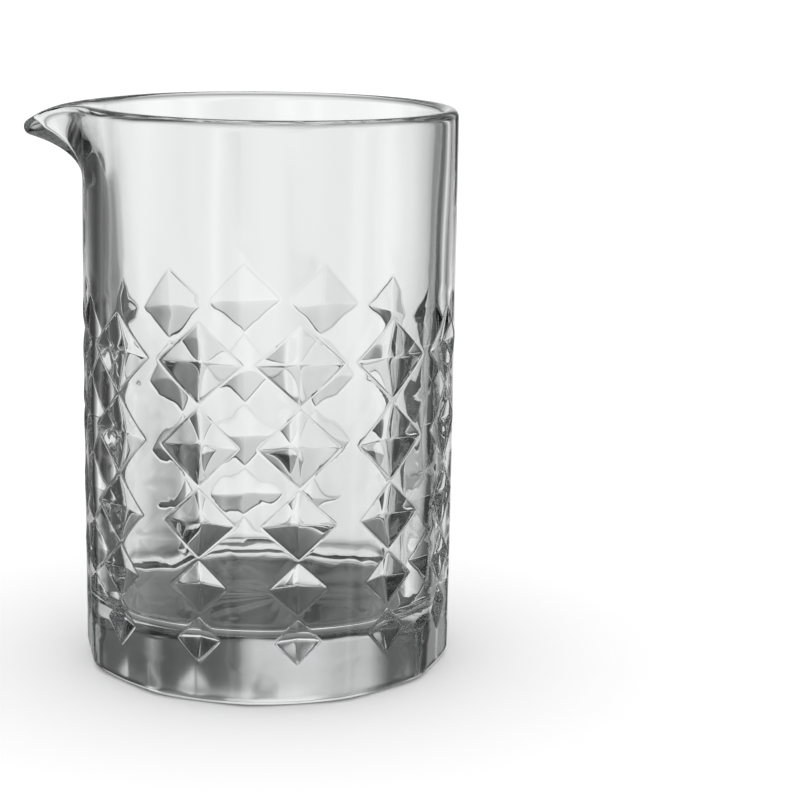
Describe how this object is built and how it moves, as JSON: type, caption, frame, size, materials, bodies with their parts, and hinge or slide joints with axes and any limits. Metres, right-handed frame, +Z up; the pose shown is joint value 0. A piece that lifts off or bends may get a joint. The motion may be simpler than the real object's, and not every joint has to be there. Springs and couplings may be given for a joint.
{
  "type": "mixing glass",
  "caption": "Tall clear glass mixing vessel with a pulled pouring spout, a thick solid base and a band of sunk diamonds pressed into its faceted lower wall.",
  "frame": {"origin": "middle of the flat underside, on the axis of the round body", "axes": "+Z up along the axis, towards the open rim; -X towards the pouring spout; the pictured side faces -Y"},
  "size_m": [0.1039, 0.09, 0.1351],
  "materials": {
    "glass": "clear, fire polished"
  },
  "bodies": {
    "root": {"glass_body": "glass"}
  },
  "joints": []
}
